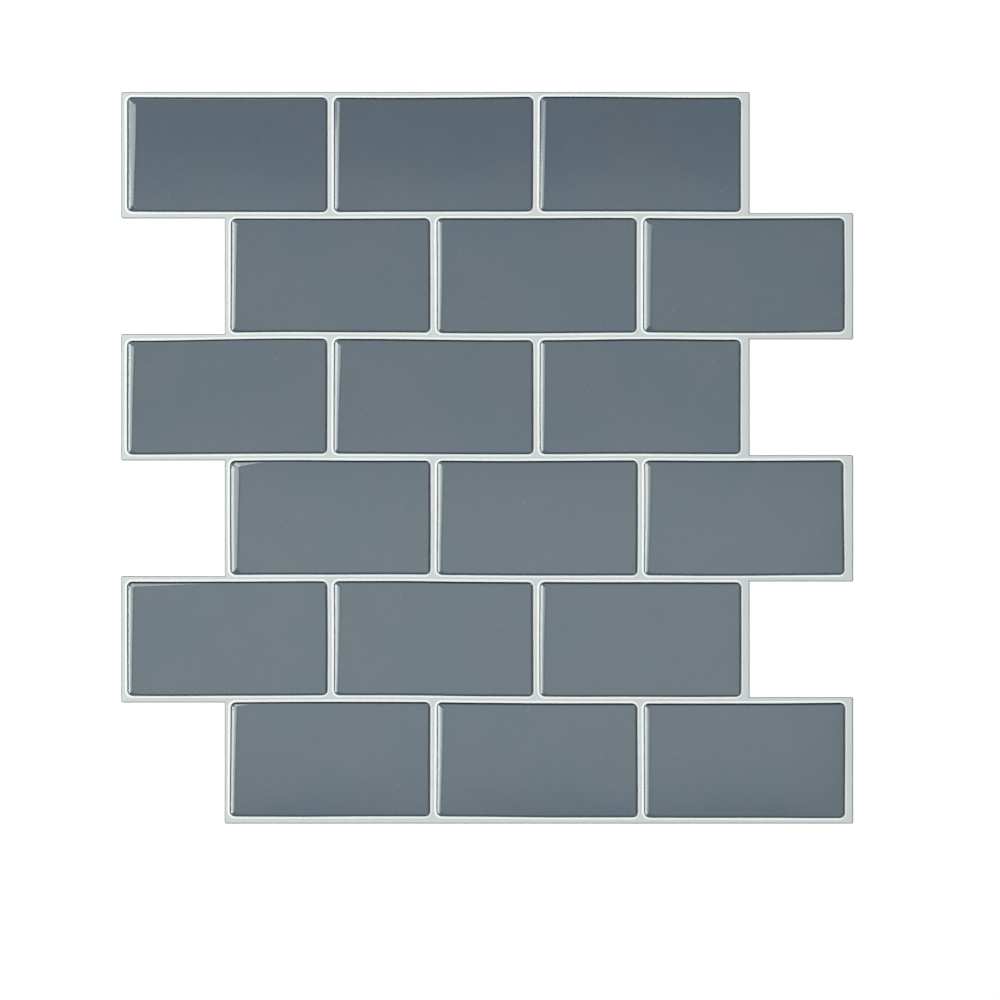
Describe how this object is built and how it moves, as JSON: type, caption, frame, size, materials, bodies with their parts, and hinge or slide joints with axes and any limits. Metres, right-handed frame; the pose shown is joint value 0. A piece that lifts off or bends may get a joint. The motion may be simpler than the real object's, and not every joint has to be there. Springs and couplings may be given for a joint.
{
  "type": "peel and stick backsplash tile",
  "caption": "Self-adhesive wall tile sheet: raised grey gel tiles in running bond on a pale stepped film with a peel-off backing.",
  "frame": {"origin": "middle of the sheet's outline, on the underside of the backing paper", "axes": "+X along the rows to the right, +Y to the top edge, +Z out of the tile faces"},
  "size_m": [0.3048, 0.3048, 0.0021],
  "materials": {
    "gel": "gloss",
    "grout_film": "satin",
    "backing_paper": "matt"
  },
  "bodies": {
    "root": {"release_liner": "backing_paper", "grout_film": "grout_film", "gel_tile_r1c1": "gel", "gel_tile_r1c2": "gel", "gel_tile_r1c3": "gel", "gel_tile_r2c1": "gel", "gel_tile_r2c2": "gel", "gel_tile_r2c3": "gel", "gel_tile_r3c1": "gel", "gel_tile_r3c2": "gel", "gel_tile_r3c3": "gel", "gel_tile_r4c1": "gel", "gel_tile_r4c2": "gel", "gel_tile_r4c3": "gel", "gel_tile_r5c1": "gel", "gel_tile_r5c2": "gel", "gel_tile_r5c3": "gel", "gel_tile_r6c1": "gel", "gel_tile_r6c2": "gel", "gel_tile_r6c3": "gel"}
  },
  "joints": []
}
